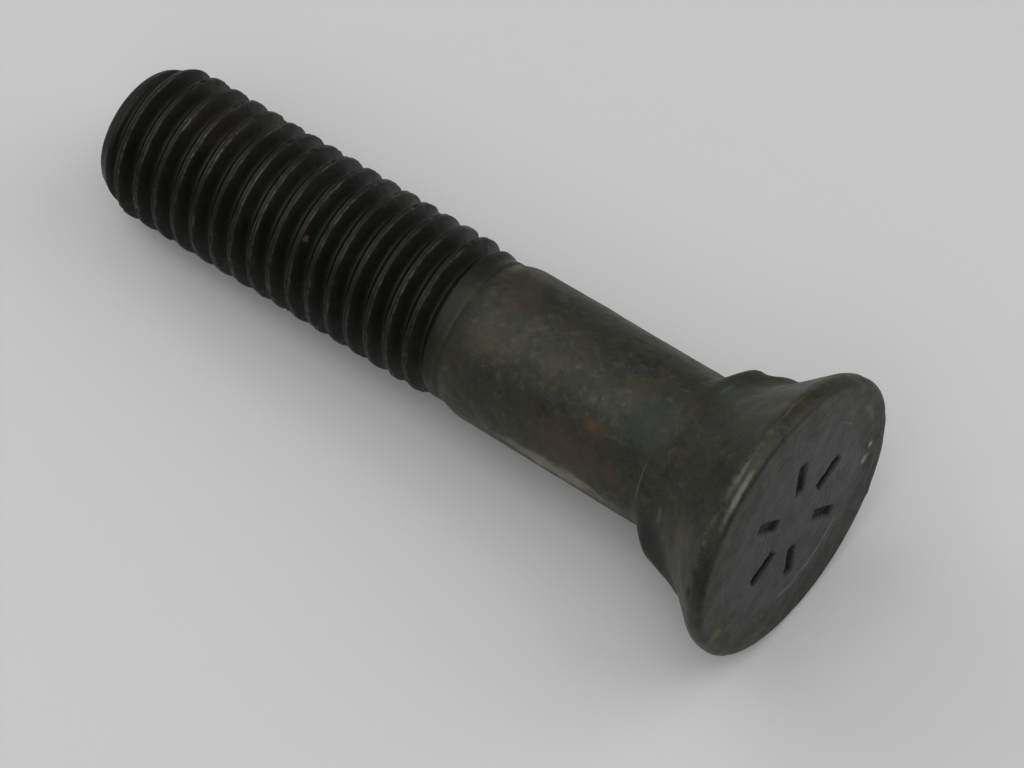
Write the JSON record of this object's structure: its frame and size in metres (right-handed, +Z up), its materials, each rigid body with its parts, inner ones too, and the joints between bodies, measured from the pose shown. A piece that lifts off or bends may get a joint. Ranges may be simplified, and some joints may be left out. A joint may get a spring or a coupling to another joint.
{
  "type": "plow bolt",
  "caption": "Flat countersunk-head bolt with a square neck, a full-diameter shank and a coarse right-hand thread, lying on its side.",
  "frame": {"origin": "centre of the bounding box at its bottom, on the surface that the bolt lies on", "axes": "+X along the bolt from the thread to the head, level with the surface; +Z up. The bolt's own axis dips 5 degrees towards the thread, because the head's rim is wider than the thread."},
  "size_m": [0.0776, 0.028, 0.0279],
  "materials": {
    "dark_steel": "forged and rolled steel with a dark oxide finish, worn grey on the thread crests and the rim of the head, brown patina on the shank"
  },
  "bodies": {
    "root": {"plow_bolt": "dark_steel"}
  },
  "joints": []
}
